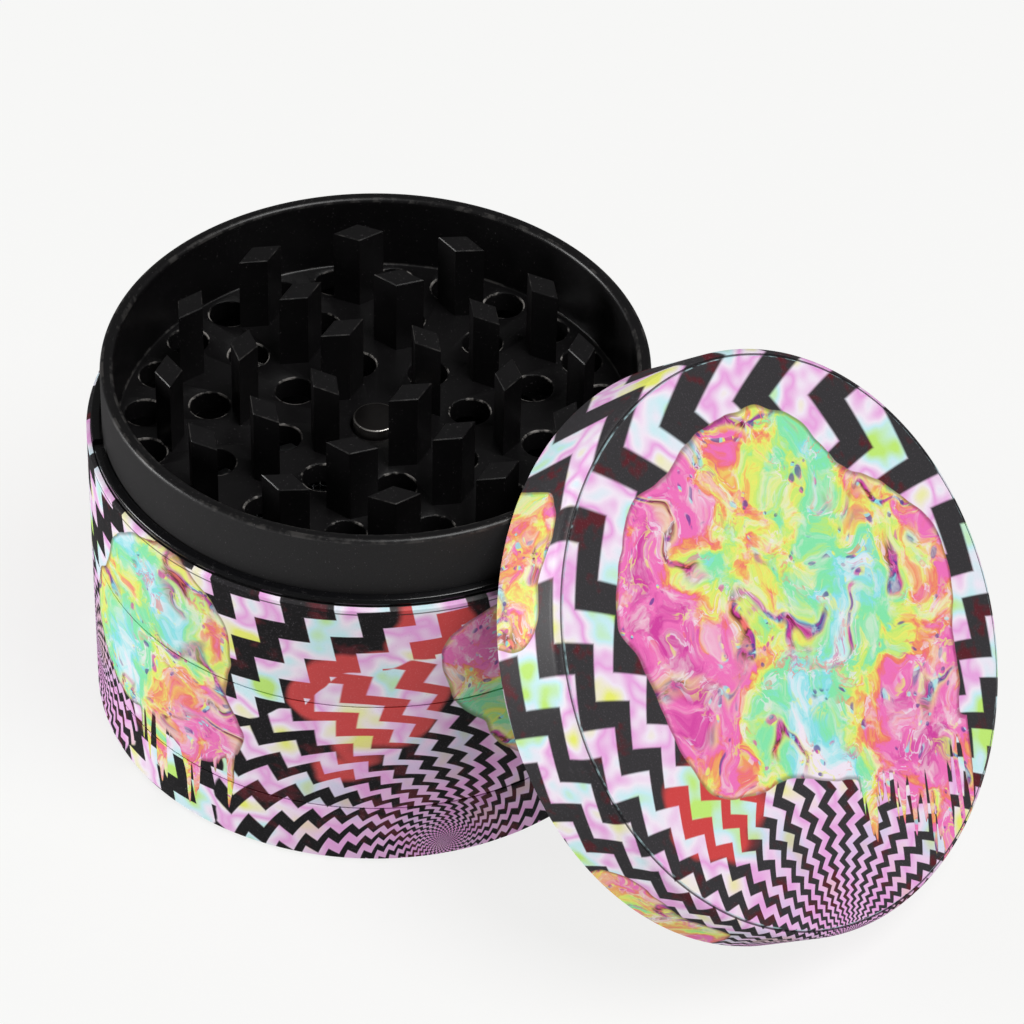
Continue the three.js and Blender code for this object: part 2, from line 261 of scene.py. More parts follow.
def rhombic_tooth(width, length, low, high, inset_end):
    """An upright rhombic post with its corners rounded and its end bevelled. inset_end is low or high."""
    corners = [(width / 2, 0), (0, length / 2), (-width / 2, 0), (0, -length / 2)]
    outline = softened(corners, 0.28 * MM, 3)
    bevel = 0.1 * MM
    inward = 1 - bevel / (width / 2)
    levels = [(low, 1), (high - bevel, 1), (high - 0.3 * bevel, (1 + 2 * inward) / 3), (high, inward)]
    if inset_end == "low":
        levels = [(low + high - z, scale) for z, scale in reversed(levels)]
    made = bmesh.new()
    rings = [[made.verts.new((x * s, y * s, z)) for x, y in outline] for z, s in levels]
    for ring, other in zip(rings, rings[1:]):
        for k in range(len(ring)):
            n = (k + 1) % len(ring)
            made.faces.new([ring[k], ring[n], other[n], other[k]])
    made.faces.new(rings[0][::-1])
    made.faces.new(rings[-1])
    return made


def around(solid, rings):
    """Copies of a small solid round the axis, turned to face it, as one bmesh."""
    source = bpy.data.meshes.new("source")
    solid.to_mesh(source)
    solid.free()
    gathered = bmesh.new()
    for radius, count, first in rings:
        for i in range(count):
            angle = math.radians(first) + 2 * math.pi * i / count
            place = Matrix.Rotation(angle, 4, "Z") @ Matrix.Translation((radius, 0, 0))
            copy = source.copy()
            copy.transform(place)
            gathered.from_mesh(copy)
            bpy.data.meshes.remove(copy)
    bpy.data.meshes.remove(source)
    return gathered


def cut_or_join(piece, operation, made):
    """Cuts a bmesh out of a piece, or joins it on."""
    tool = finished("tool", made)
    boolean = piece.modifiers.new("boolean", "BOOLEAN")
    boolean.operation = operation
    boolean.solver = "MANIFOLD"
    boolean.object = tool
    apply_modifiers(piece)
    bpy.data.objects.remove(tool)


def apply_modifiers(piece):
    evaluated = piece.evaluated_get(bpy.context.evaluated_depsgraph_get())
    mesh = bpy.data.meshes.new_from_object(evaluated)
    piece.modifiers.clear()
    piece.data = mesh
    mesh.name = piece.name


def smoothed(piece, sharp=35):
    for polygon in piece.data.polygons:
        polygon.use_smooth = True
    piece.data.set_sharp_from_angle(angle=math.radians(sharp))
    return piece


def remember_places(mesh):
    """Keeps what the materials read: each point's place in the piece's upright frame, and its bevels."""
    own = mesh.attributes.new("own_place", "FLOAT_VECTOR", "POINT")
    for point, vertex in zip(own.data, mesh.vertices):
        point.vector = vertex.co
    bevel = mesh.attributes.new("bevel", "FLOAT", "FACE")
    for value, polygon in zip(bevel.data, mesh.polygons):
        value.value = 1.0 if 0.3 < polygon.normal.z < 0.92 else 0.0


def placed(piece, node, body, material, transform=None):
    """Finishes a piece: it stands for a CAD node, rides on its body and takes its material."""
    remember_places(piece.data)
    if transform is not None:
        piece.data.transform(transform)
    piece.data.materials.clear()
    piece.data.materials.append(material)
    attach(piece, body)
    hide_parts(node)
    return piece


# ---- Materials ----

class Value:
    """A number or colour in a material, with arithmetic."""

    def __init__(self, graph, socket):
        self.graph, self.socket = graph, socket

    def __add__(self, other):
        return self.graph.math("ADD", self, other)

    def __sub__(self, other):
        return self.graph.math("SUBTRACT", self, other)

    def __rsub__(self, other):
        return self.graph.math("SUBTRACT", other, self)

    def __mul__(self, other):
        return self.graph.math("MULTIPLY", self, other)

    def __truediv__(self, other):
        return self.graph.math("DIVIDE", self, other)

    __radd__ = __add__
    __rmul__ = __mul__


class Graph:
    """A material and short ways to add nodes to it. Lengths inside it are in millimetres."""

    def __init__(self, name):
        self.material = bpy.data.materials.new(name)
        self.material.use_nodes = True
        self.tree = self.material.node_tree
        self.shader = self.tree.nodes["Principled BSDF"]
        coordinates = self.node("ShaderNodeAttribute", attribute_name="own_place").outputs["Vector"]
        scaled = self.node("ShaderNodeVectorMath", operation="SCALE")
        self.tree.links.new(coordinates, scaled.inputs[0])
        scaled.inputs["Scale"].default_value = 1 / MM
        self.point = Value(self, scaled.outputs[0])
        apart = self.node("ShaderNodeSeparateXYZ")
        self.feed(apart.inputs[0], self.point)
        self.x, self.y, self.z = (Value(self, apart.outputs[i]) for i in range(3))

    def attribute(self, name):
        return Value(self, self.node("ShaderNodeAttribute", attribute_name=name).outputs["Fac"])

    def node(self, kind, **settings):
        made = self.tree.nodes.new(kind)
        for key, value in settings.items():
            setattr(made, key, value)
        return made

    def feed(self, socket, value):
        if isinstance(value, Value):
            self.tree.links.new(value.socket, socket)
        elif isinstance(value, tuple) and len(value) == 3 and socket.type == "RGBA":
            socket.default_value = (*value, 1)
        else:
            socket.default_value = value

    def math(self, operation, *values):
        made = self.node("ShaderNodeMath", operation=operation)
        for socket, value in zip(made.inputs, values):
            self.feed(socket, value)
        return Value(self, made.outputs[0])

    def length(self, x, y):
        return self.math("SQRT", x * x + y * y)

    def smooth(self, value, low, high):
        """0 below low to 1 above high."""
        made = self.node("ShaderNodeMapRange", interpolation_type="SMOOTHSTEP")
        for name, given in (("Value", value), ("From Min", low), ("From Max", high)):
            self.feed(made.inputs[name], given)
        return Value(self, made.outputs["Result"])

    def vector(self, x, y, z=0.0):
        made = self.node("ShaderNodeCombineXYZ")
        for socket, value in zip(made.inputs, (x, y, z)):
            self.feed(socket, value)
        return Value(self, made.outputs[0])

    def noise(self, place, scale, detail=2.0, roughness=0.5, distortion=0.0):
        made = self.node("ShaderNodeTexNoise")
        self.feed(made.inputs["Vector"], place)
        for name, given in (("Scale", scale), ("Detail", detail), ("Roughness", roughness),
                            ("Distortion", distortion)):
            made.inputs[name].default_value = given
        return Value(self, made.outputs[0])

    def cells(self, place, scale, feature="F1"):
        made = self.node("ShaderNodeTexVoronoi", feature=feature)
        self.feed(made.inputs["Vector"], place)
        made.inputs["Scale"].default_value = scale
        return Value(self, made.outputs["Distance"])

    def mix(self, share, first, second):
        made = self.node("ShaderNodeMix", data_type="RGBA")
        self.feed(made.inputs["Factor"], share)
        self.feed(made.inputs[6], first)
        self.feed(made.inputs[7], second)
        return Value(self, made.outputs[2])

    def ramp(self, value, stops, interpolation="LINEAR"):
        made = self.node("ShaderNodeValToRGB")
        made.color_ramp.interpolation = interpolation
        elements = made.color_ramp.elements
        while len(elements) < len(stops):
            elements.new(0.5)
        for element, (position, colour) in zip(elements, stops):
            element.position = position
            element.color = (*colour, 1)
        self.feed(made.inputs[0], value)
        return Value(self, made.outputs[0])

    def bump(self, height, strength, distance):
        made = self.node("ShaderNodeBump")
        made.inputs["Strength"].default_value = strength
        made.inputs["Distance"].default_value = distance * MM
        self.feed(made.inputs["Height"], height)
        self.tree.links.new(made.outputs[0], self.shader.inputs["Normal"])

    def surface(self, **inputs):
        for name, value in inputs.items():
            self.feed(self.shader.inputs[INPUT_NAMES[name]], value)
        return self.material


INPUT_NAMES = {"colour": "Base Color", "roughness": "Roughness", "metallic": "Metallic",
               "specular": "Specular IOR Level"}


def srgb(red, green, blue):
    def linear(value):
        value /= 255
        return value / 12.92 if value <= 0.04045 else ((value + 0.055) / 1.055) ** 2.4
    return (linear(red), linear(green), linear(blue))


HOT_PINK = srgb(248, 116, 192)
MAGENTA = srgb(218, 62, 164)
SALMON = srgb(248, 118, 112)
ORANGE = srgb(250, 176, 100)
YELLOW = srgb(240, 244, 112)
LIME = srgb(198, 242, 118)
MINT = srgb(136, 238, 176)
CYAN = srgb(138, 230, 238)
PALE_CYAN = srgb(206, 244, 250)
LAVENDER = srgb(250, 238, 252)
ORCHID = srgb(240, 168, 230)
WARM_WHITE = srgb(252, 244, 240)
INDIGO = srgb(78, 58, 152)
EMBER = srgb(214, 66, 66)
MAROON = srgb(92, 20, 32)
INK = srgb(24, 22, 25)
DARK_INK = srgb(15, 13, 15)


def black_metal():
    """Satin black anodised aluminium: a fine grain, faint turning marks and a little bare sparkle. Sloped
    bevels on the grinding floor are painted pale in patches, as worn edges with a painted highlight, and the
    outside is painted lighter than the chamber inside, as a painted sheen outside and painted shade inside.
    """
    g = Graph("black_metal")
    grain = g.noise(g.point, 9.0, 3.0, 0.7)
    cloud = g.noise(g.point, 0.35, 3.0, 0.6)
    sparkle = g.smooth(g.noise(g.point, 5.5, 1.0, 0.5), 0.72, 0.78)
    rub_and_glint_patches = g.smooth(g.noise(g.point, 0.5, 3.0, 0.7), 0.46, 0.62)
    radius = g.length(g.x, g.y)
    on_floor = 1.0 - g.smooth(radius, grinding_radius / MM - 1.0, grinding_radius / MM - 0.7)
    below_teeth = 1.0 - g.smooth(g.z, grinding_z / MM + 0.2, grinding_z / MM + 0.6)
    # Painted highlight and wear: sloped bevel faces, mostly the hole rims on the grinding floor, painted pale
    # in patches
    wear_and_highlight = g.attribute("bevel") * rub_and_glint_patches * (on_floor * below_teeth * 0.8 + 0.1)
    turned = g.noise(g.vector(radius * 6.0, g.z * 6.0), 1.0, 2.0, 0.6)
    # Painted sheen and painted shade: the outside of the neck takes a lighter colour than the chamber inside,
    # and more roughness
    outside = g.smooth(radius, neck_radius / MM - 0.2, neck_radius / MM)
    colour = g.mix(cloud, srgb(11, 10, 11), srgb(20, 19, 20))
    colour = g.mix(outside * 0.9, colour, g.mix(grain, srgb(24, 23, 24), srgb(58, 57, 58)))
    colour = g.mix(sparkle * 0.45, colour, srgb(120, 116, 118))
    # Painted highlight and wear: pale colour on the rubbed bevels
    colour = g.mix(wear_and_highlight, colour, srgb(150, 146, 142))
    rough = 0.24 + grain * 0.14 + cloud * 0.06 + outside * 0.16
    g.bump(grain * 0.7 + turned * 0.3, 0.3, 0.03)
    return g.surface(colour=colour, roughness=rough, specular=0.34)


def flat_place(g, flattened):
    """The print's own coordinates (across, up). The lid's top runs on over its edge and down its skirt."""
    if flattened:
        radius = g.length(g.x, g.y)
        stretch = (radius + (lid_height / MM - g.z)) / g.math("MAXIMUM", radius, 0.5)
        x, y = g.x * stretch, g.y * stretch
        turn = math.radians(60)
        return (x * math.cos(turn) + y * math.sin(turn), y * math.cos(turn) - x * math.sin(turn))
    turn = g.math("ARCTAN2", g.x, g.y * -1.0)
    return turn * (body_radius / MM), g.z


def wave(g, value):
    """A triangle wave of period 1, from -1 to 1."""
    return g.math("ABSOLUTE", g.math("FRACT", value) * 2.0 - 1.0) * 2.0 - 1.0


def band(g, value, share, softness):
    """1 inside a stripe that fills a share of each unit, with edges softness wide."""
    inside = g.math("ABSOLUTE", g.math("FRACT", value) - 0.5) * 2.0
    return 1.0 - g.smooth(inside, share - softness, share + softness)


def print_material(name, flattened, hills, patch, fans, bands, drips, embers, black):
    """Paint-pour marbling over zigzag stripes. All lengths are in millimetres.

    hills lift or lower the marbling's colour scale round a point: (across, up, reach, height).
    patch is the outline of the marbled area as circles that run together: (across, up, radius).
    fans are stripes that gather at a point: (across, up, reach, stripes, twist, zigzags).
    bands is the slant, pitch, and the length and depth of a zigzag of the plain stripes.
    drips is where paint runs down: (up, left, right). embers redden the black: (across, up, reach).
    black is the colour between the stripes.
    """
    g = Graph(name)
    u, v = flat_place(g, flattened)
    place = g.vector(u, v)

    swirl_u = g.noise(g.vector(u, v, 3.1), 0.11, 2.0, 0.5) - 0.5
    swirl_v = g.noise(g.vector(u, v, 8.7), 0.11, 2.0, 0.5) - 0.5
    warp_u = u + swirl_u * 11.0
    warp_v = v + swirl_v * 11.0
    curl_u = warp_u + (g.noise(g.vector(warp_u, warp_v, 1.3), 0.32, 3.0, 0.6) - 0.5) * 4.5
    curl_v = warp_v + (g.noise(g.vector(warp_u, warp_v, 5.9), 0.32, 3.0, 0.6) - 0.5) * 4.5
    warped = g.vector(curl_u, curl_v)

    # The marbling: one field of hills and noise, coloured like oil on water
    field = (g.noise(warped, 0.2, 5.0, 0.6) - 0.5) * 1.15 + 0.38
    for across, up, reach, height in hills:
        away = g.length(curl_u - across, curl_v - up) / reach
        field = field + g.math("EXPONENT", away * away * -1.0) * height
    marbling = g.ramp(field, [
        (0.02, MAGENTA), (0.16, HOT_PINK), (0.27, HOT_PINK), (0.33, SALMON), (0.39, ORANGE), (0.45, YELLOW),
        (0.52, LIME), (0.59, MINT), (0.67, MINT), (0.76, CYAN), (0.86, PALE_CYAN), (0.97, LAVENDER)])

    # Coloured ribbons, thin swirled veins, drops of other colours and a soft shade
    ribbon = g.math("ABSOLUTE", g.noise(g.vector(warp_u, warp_v, 64.0), 0.085, 2.0, 0.4) - 0.5)
    pooled = g.smooth(g.noise(g.vector(u, v, 90.0), 0.12, 1.0), 0.42, 0.56)
    ribbon_share = (1.0 - g.smooth(ribbon, 0.006, 0.024)) * pooled
    ribbon_colour = g.ramp(g.noise(g.vector(curl_u, curl_v, 35.0), 0.28, 3.0, 0.65), [
        (0.36, CYAN), (0.44, INDIGO), (0.52, MAGENTA), (0.58, MAROON), (0.66, SALMON)])
    edge = (1.0 - g.smooth(ribbon, 0.014, 0.045)) * pooled
    marbling = g.mix(edge * 0.6, marbling, YELLOW)
    marbling = g.mix(ribbon_share, marbling, ribbon_colour)
    vein = g.math("ABSOLUTE", g.noise(g.vector(curl_u, curl_v, 21.0), 0.42, 3.0, 0.6) - 0.5)
    vein_share = (1.0 - g.smooth(vein, 0.006, 0.04)) * g.smooth(g.noise(place, 0.16, 1.0), 0.44, 0.58)
    marbling = g.mix(vein_share * 0.65, marbling, g.ramp(g.noise(place, 0.2, 1.0), [
        (0.35, YELLOW), (0.45, LAVENDER), (0.55, SALMON), (0.65, MAGENTA)], "CONSTANT"))
    for seed, size in ((2.0, 0.36), (6.0, 0.62)):
        drop = g.cells(g.vector(warp_u, warp_v, seed), size)
        wanted = g.smooth(g.noise(g.vector(u, v, 40.0 + seed), 0.16, 1.0), 0.48, 0.54)
        drop_colour = g.ramp(g.noise(g.vector(u, v, 55.0 + seed), 0.3, 1.0), [
            (0.3, INDIGO), (0.42, CYAN), (0.49, YELLOW), (0.54, MAGENTA), (0.6, INDIGO)], "CONSTANT")
        marbling = g.mix((1.0 - g.smooth(drop, 0.17, 0.27)) * wanted * 0.8, marbling, drop_colour)
    shade = g.noise(g.vector(curl_u, curl_v, 12.0), 0.4, 4.0, 0.65)
    marbling = g.mix(g.smooth(shade, 0.46, 0.72) * 0.6, marbling, WARM_WHITE)

    # The stripes: light bands on black, in zigzags
    slant, pitch, zig_length, zig_depth = bands
    along = u * math.sin(slant) + v * math.cos(slant)
    across = u * math.cos(slant) - v * math.sin(slant)
    zigzag = wave(g, along / zig_length) * zig_depth
    stripe = band(g, (across + zigzag) / pitch, 0.5, 0.03)
    tint = g.ramp(g.noise(g.vector(u, v, 31.0), 0.12, 2.0, 0.6), [
        (0.30, YELLOW), (0.40, LAVENDER), (0.47, ORCHID), (0.54, LAVENDER), (0.60, PALE_CYAN), (0.68, LIME)])
    for fan_u, fan_v, reach, count, twist, zigs in fans:
        away_u, away_v = u - fan_u, v - fan_v
        distance = g.length(away_u, away_v)
        depth = g.math("LOGARITHM", g.math("MAXIMUM", distance, 0.2), math.e)
        turn = g.math("ARCTAN2", away_v, away_u) / (2 * math.pi)
        fan_stripe = band(g, (turn + depth * twist) * count + wave(g, depth * zigs) * 0.24, 0.5, 0.06)
        share = 1.0 - g.smooth(distance + swirl_u * 8.0, reach - 0.15, reach + 0.15)
        stripe = stripe * (1.0 - share) + fan_stripe * share
        near = 1.0 - g.smooth(distance, 8.0, 22.0)
        tint = g.mix(share * near * 0.75, tint, ORCHID)
    ground = g.mix(g.smooth(g.noise(g.vector(u, v, 77.0), 0.2, 3.0, 0.7), 0.52, 0.66), black, MAROON)
    for across, up, reach in embers:
        away = g.length(warp_u - across, warp_v - up)
        ground = g.mix(1.0 - g.smooth(away, reach - 0.6, reach + 0.6), ground, EMBER)
    stripes = g.mix(stripe, ground, tint)

    # The marbled patch lies over the stripes, with a thin dark edge
    nearest = None
    gentle_u, gentle_v = u + swirl_u * 4.0, v + swirl_v * 4.0
    for patch_u, patch_v, radius in patch:
        away = g.length(gentle_u - patch_u, gentle_v - patch_v) - radius
        nearest = away if nearest is None else g.math("SMOOTH_MIN", nearest, away, 5.0)
    drip_v, drip_left, drip_right = drips
    column = g.noise(g.vector(u, v * 0.05, 15.0), 1.15, 1.0, 0.5)
    run = (drip_v - v) - (column - 0.4) * 36.0
    beside = g.math("MAXIMUM", drip_left - u, u - drip_right)
    drip = g.math("MAXIMUM", g.math("MAXIMUM", run, beside * 1.5), v - drip_v - 5.0)
    nearest = g.math("SMOOTH_MIN", nearest, drip, 1.5)
    inside = 1.0 - g.smooth(nearest, -0.08, 0.08)
    rim = g.smooth(nearest, -0.55, -0.1)
    marbling = g.mix(rim * 0.55, marbling, MAROON)
    colour = g.mix(inside, stripes, marbling)

    if flattened:
        # A bare dark line where the lid's two printed sheets meet, with a patchy painted highlight along its
        # inner edge
        off_join = g.length(g.x, g.y) - film_join_radius / MM
        highlight_breaks = g.smooth(g.noise(g.point, 0.6, 2.0, 0.6), 0.4, 0.6)
        # Painted highlight: a pale thin line 0.13 mm inside the join
        pale = 1.0 - g.smooth(g.math("ABSOLUTE", off_join + 0.13), 0.04, 0.09)
        dark = 1.0 - g.smooth(g.math("ABSOLUTE", off_join - 0.02), 0.07, 0.13)
        on_top = g.smooth(g.z, lid_height / MM - 0.6, lid_height / MM - 0.4)
        colour = g.mix(pale * on_top * highlight_breaks * 0.6, colour, PALE_CYAN)
        colour = g.mix(dark * on_top * 0.85, colour, INK)
    else:
        # A fine dark line round the body, 0.75 mm under the shoulder where the topmost sleeve is drawn over
        # the edge
        under_edge = g.math("ABSOLUTE", g.z - (shoulder_z / MM - 0.75))
        colour = g.mix((1.0 - g.smooth(under_edge, 0.05, 0.12)) * 0.8, colour, INK)

    # Ink grain
    speck = g.noise(g.point, 5.2, 2.0, 0.8)
    colour = g.mix(g.smooth(speck, 0.55, 0.9) * 0.22, colour, DARK_INK)
    colour = g.mix(g.smooth(1.0 - speck, 0.55, 0.9) * 0.2, colour, LAVENDER)
    grain = g.noise(g.point, 7.5, 3.0, 0.7)
    g.bump(grain + inside * 0.15 + stripe * 0.1, 0.22, 0.03)
    return g.surface(colour=colour, roughness=0.4 + grain * 0.16, specular=0.46)


def lid_print():
    return print_material(
        "lid_print", True,
        hills=[(-17, 5, 8, -0.3), (-14, -6, 7, -0.25), (-10, 7, 5, 0.36), (3, 14, 8, 0.1), (6, 22, 6, 0.26),
               (10, 3, 7, 0.45), (1, -9, 7, 0.5), (3, -16, 5, 0.5), (19, -10, 8, -0.3), (-15, 16, 7, -0.15)],
        patch=[(-11, 6, 12), (-1, 12, 13), (5, 0, 15), (13, 5, 12), (-8, -6, 10), (16, -6, 9),
               (-38, 16, 8), (-39, 6, 5), (-25, -34, 7), (-15, -39, 6)],
        fans=[(5, -33, 200, 34, 0.03, 6.0)],
        bands=(0.0, 5.6, 3.6, 1.0),
        # The lid's black is painted lighter than the body's ink, as a painted sheen
        drips=(-14, 8, 25), embers=[(-14, -17, 6)], black=srgb(50, 48, 51))


def body_print():
    return print_material(
        "body_print", False,
        hills=[(-26, 31, 7, 0.08), (-32, 34, 6, 0.3), (-24, 27, 5, 0.35), (-20, 15, 6, -0.25),
               (-33, 15, 7, 0.5), (14, 31, 7, -0.25), (11, 19, 6, 0.4), (18, 12, 6, -0.2),
               (40, 26, 10, 0.3), (64, 12, 10, -0.3),
               (-60, 22, 12, -0.25), (-86, 25, 10, 0.3), (90, 20, 10, -0.1)],
        patch=[(-26, 27, 10), (-33, 18, 8), (-21, 15, 6), (15, 28, 8), (21, 20, 9), (45, 24, 12), (62, 16, 9),
               (-62, 26, 10), (-80, 20, 12), (92, 26, 12)],
        fans=[(7.6, 2.3, 27, 24, -0.11, 5.5), (-44, 8, 13, 22, 0.1, 5.5), (76, 4, 20, 24, 0.1, 5.5),
              (-92, 6, 15, 22, -0.1, 5.5)],
        bands=(math.radians(38), 7.0, 4.6, 1.3),
        drips=(12, -30, -16), embers=[(0, 24, 7), (6, 33, 5), (-4, 15, 3), (60, 30, 6), (-70, 8, 6)],
        black=INK)


def bare_steel(name, colour, rough, ring=None):
    """Plated or woven bright metal with fine scratches. ring, when given, is the radius in mm of an edge
    painted pale all round as a painted highlight.
    """
    g = Graph(name)
    scratch = g.noise(g.vector(g.x * 0.6, g.y * 7.0, g.z), 2.6, 4.0, 0.7)
    cloud = g.noise(g.point, 0.9, 3.0, 0.6)
    shade = g.mix(cloud * 0.5, colour, tuple(0.55 * part for part in colour))
    roughness = rough + scratch * 0.12
    if ring:
        # Painted highlight: the disc's edge painted pale all round
        edge = g.smooth(g.length(g.x, g.y), ring - 0.28, ring - 0.08)
        shade = g.mix(edge, shade, srgb(226, 222, 216))
    g.bump(scratch, 0.15, 0.02)
    return g.surface(colour=shade, roughness=roughness, metallic=1.0)


def black_plastic():
    """Hard glossy black plastic with a slightly uneven skin and scuffs."""
    g = Graph("black_plastic")
    grain = g.noise(g.point, 3.0, 2.0, 0.5)
    scuff = g.smooth(g.noise(g.vector(g.x, g.y, g.z * 4.0), 1.6, 4.0, 0.7), 0.55, 0.7)
    colour = g.mix(scuff * 0.4, srgb(12, 12, 14), srgb(38, 36, 38))
    g.bump(grain, 0.12, 0.03)
    return g.surface(colour=colour, roughness=0.16 + scuff * 0.2, specular=0.5)


metal = black_metal()
lid_ink = lid_print()
body_ink = body_print()
nickel = bare_steel("nickel", srgb(80, 77, 76), 0.28, magnet_radius / MM)
steel = bare_steel("screen_steel", srgb(176, 178, 180), 0.24)
plastic = black_plastic()


# ---- Pieces ----

def catcher():
    top = chamber_z - seam_gap
    outline = [(0, 0), (metal_radius, 0, 0.3 * MM), (metal_radius, top),
               (female_radius + mouth_chamfer, top), (female_radius, top - mouth_chamfer)]
    outline += rows_between(female_radius, top - mouth_chamfer - 0.3 * MM, catcher_floor + 1.6 * MM)
    outline += [(female_radius, catcher_floor, catcher_corner), (0, catcher_floor)]
    piece = finished("catcher_cup", lathe(softened(outline, steps=6), shift=bore_ridge(chamber_z)))
    placed(piece, "catcher", "catcher_body", metal)


def spigot(seam):
    """Outline points up the outside of a spigot that hangs below a seam."""
    end = seam - spigot_length
    points = [(spigot_bore, end), (thread_core - 0.2 * MM, end), (thread_core, end + 0.2 * MM)]
    return points + rows_between(thread_core, end + 0.3 * MM, seam - 0.2 * MM) + [(thread_core, seam)]


def screen_chamber():
    top = base_z - seam_gap
    ledge = chamber_z + ledge_thickness
    bore_end = base_z - female_depth
    outline = spigot(chamber_z)
    outline += [(metal_radius, chamber_z), (metal_radius, top), (female_radius + mouth_chamfer, top),
                (female_radius, top - mouth_chamfer)]
    outline += rows_between(female_radius, top - mouth_chamfer - 0.3 * MM, bore_end + 0.2 * MM)
    outline += [(female_radius, bore_end), (screen_bore, bore_end), (screen_bore, ledge),
                (screen_bore - ledge_width, ledge), (screen_bore - ledge_width, chamber_z),
                (spigot_bore, chamber_z)]
    shift = both(spigot_ridge(chamber_z), bore_ridge(base_z))
    piece = finished("screen_chamber_wall", lathe(softened(outline), shift=shift))
    placed(piece, "screen_chamber", "chamber_body", metal)


def grinding_base():
    cone_z = base_z + 0.5 * MM
    rim_round = 0.68 * MM
    underside_z = grinding_z - grinding_floor
    outline = [(0, underside_z), (underside_radius, underside_z),
               (underside_radius, cone_z + underside_radius - spigot_bore), (spigot_bore, cone_z)]
    outline += spigot(base_z)
    outline += [(metal_radius, base_z), (metal_radius, shoulder_z - 0.35 * MM),
                (metal_radius - 0.3 * MM, shoulder_z - 0.1 * MM), (neck_radius, shoulder_z - 0.1 * MM),
                (neck_radius, rim_z, rim_round), (grinding_radius, rim_z, rim_round),
                (grinding_radius, grinding_z, 0.3 * MM), (0, grinding_z)]
    piece = finished("grinding_base_block", lathe(softened(outline, steps=5), shift=spigot_ridge(base_z)))
    countersink = 0.2 * MM
    wide = hole_radius + countersink
    hole = lathe([(0, underside_z - MM), (wide, underside_z - MM), (wide, underside_z),
                  (hole_radius, underside_z + countersink), (hole_radius, grinding_z - countersink),
                  (hole_radius + 0.3 * countersink, grinding_z - 0.35 * countersink), (wide, grinding_z),
                  (wide, grinding_z + 0.5 * MM), (0, grinding_z + 0.5 * MM)], HOLE_SEGMENTS)
    cut_or_join(piece, "DIFFERENCE", around(hole, base_holes))
    tooth = rhombic_tooth(tooth_width, tooth_length, grinding_z - 0.5 * MM, rim_z, "high")
    cut_or_join(piece, "UNION", around(tooth, base_teeth))
    pocket_floor = magnet_low.z - pocket_gap
    pocket = lathe([(0, pocket_floor), (pocket_radius, pocket_floor), (pocket_radius, rim_z + MM),
                    (0, rim_z + MM)], SMALL_SEGMENTS)
    cut_or_join(piece, "DIFFERENCE", pocket)
    placed(smoothed(piece), "grinding_base", "base_body", metal)


def print_sleeve(name, node, body, low, high, bevelled=False):
    """A printed sleeve; the one at the shoulder is drawn over the edge."""
    if bevelled:
        top = shoulder_z
        outline = softened([(film_inside, low), (body_radius, low), (body_radius, top - 0.25 * MM),
                            (shell_radius + 0.06 * MM, top), (shell_radius + 0.06 * MM, top - 0.09 * MM),
                            (film_inside, top - 0.33 * MM)], SLEEVE_EDGE)
    else:
        outline = softened([(film_inside, low), (body_radius, low), (body_radius, high), (film_inside, high)],
                           SLEEVE_EDGE)
    piece = finished(name, lathe(outline, SLEEVE_SEGMENTS))
    placed(piece, node, body, body_ink)


def friction_ring():
    """The split ring of hard plastic round the foot of the neck."""
    half = ring_split / 2 / ((neck_radius + shell_radius) / 2)
    section = softened([(neck_radius + 0.1 * MM, ring_low.z), (shell_radius, ring_low.z),
                        (shell_radius, ring_high.z), (neck_radius + 0.1 * MM, ring_high.z)], 0.22 * MM, 4)
    made = bmesh.new()
    rings = []
    for i in range(SEGMENTS + 1):
        angle = ring_split_angle + half + (2 * math.pi - 2 * half) * i / SEGMENTS
        rings.append([made.verts.new((r * math.cos(angle), r * math.sin(angle), z)) for r, z in section])
    for ring, other in zip(rings, rings[1:]):
        for k in range(len(section)):
            n = (k + 1) % len(section)
            made.faces.new([ring[k], ring[n], other[n], other[k]])
    made.faces.new(rings[0])
    made.faces.new(rings[-1][::-1])
    piece = finished("friction_ring_split", made)
    placed(piece, "friction_ring", "friction_ring_body", plastic)


def magnet(name, node, body, low, transform=None):
    outline = softened([(0, low), (magnet_radius, low), (magnet_radius, low + magnet_height),
                        (0, low + magnet_height)], 0.25 * MM, 4)
    piece = finished(name, lathe(outline, SMALL_SEGMENTS))
    placed(piece, node, body, nickel, transform)


def screen_ring(name, node, body, material):
    low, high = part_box(node)
    inner = high.x - 1.8 * MM
    outline = softened([(inner, low.z), (high.x, low.z), (high.x, high.z), (inner, high.z)], 0.15 * MM)
    placed(finished(name, lathe(outline)), node, body, material)


def woven_screen():
    """A plain weave of round steel wires, cut to a disc."""
    low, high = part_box("screen_mesh")
    reach = high.x - 0.3 * MM
    middle = (low.z + high.z) / 2
    spacing = 0.8 * MM
    wire = 0.085 * MM
    swing = 0.09 * MM
    sides = 6
    count = int(reach / spacing)
    made = bmesh.new()
    for crossing in (False, True):
        for i in range(-count, count + 1):
            offset = i * spacing
            half = math.sqrt(max(0, reach ** 2 - offset ** 2))
            steps = max(2, int(2 * half / (spacing / 4)))
            rings = []
            for step in range(steps + 1):
                along = -half + 2 * half * step / steps
                lift = swing * math.cos(math.pi * (along / spacing + i + (1 if crossing else 0)))
                ring = []
                for k in range(sides):
                    angle = 2 * math.pi * k / sides
                    side, up = offset + wire * math.cos(angle), middle + lift + wire * math.sin(angle)
                    ring.append(made.verts.new((side, along, up) if crossing else (along, side, up)))
                rings.append(ring)
            for ring, other in zip(rings, rings[1:]):
                for k in range(sides):
                    n = (k + 1) % sides
                    made.faces.new([ring[k], ring[n], other[n], other[k]])
            made.faces.new(rings[0][::-1])
            made.faces.new(rings[-1])
    piece = finished("woven_screen", made)
    placed(piece, "screen_mesh", "chamber_body", steel)


